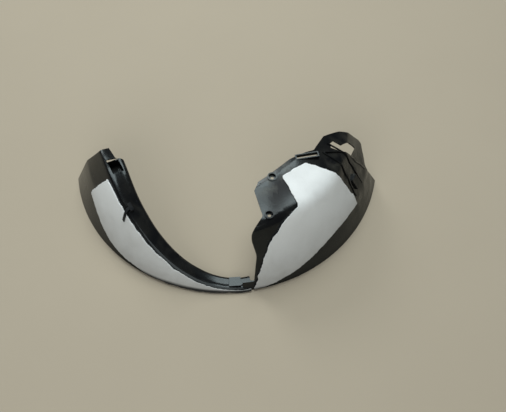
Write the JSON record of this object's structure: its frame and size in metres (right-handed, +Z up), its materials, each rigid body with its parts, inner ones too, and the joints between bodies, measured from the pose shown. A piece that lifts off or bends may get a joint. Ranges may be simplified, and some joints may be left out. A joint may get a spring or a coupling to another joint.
{
  "type": "wheel arch mudguard",
  "caption": "thin moulded inner mudguard for a car's wheel arch, half-round, with a narrow crown, wide front panel, loop bracket and glued felt pads",
  "frame": {"origin": "middle of the part's box in plan, on the floor under the lip", "axes": "+X from the rear arm to the loop bracket, +Y from the crown towards the wheel axis, +Z up from the lip, away from the wing"},
  "size_m": [0.7456, 0.3582, 0.1976],
  "materials": {
    "black_plastic": "moulded, dusty and scuffed",
    "white_felt": "pressed felt, cut edges",
    "clip_plastic": "moulded"
  },
  "bodies": {
    "root": {"shell": "black_plastic", "felt_rear": "white_felt", "felt_front": "white_felt", "harness_clip": "clip_plastic"}
  },
  "joints": []
}
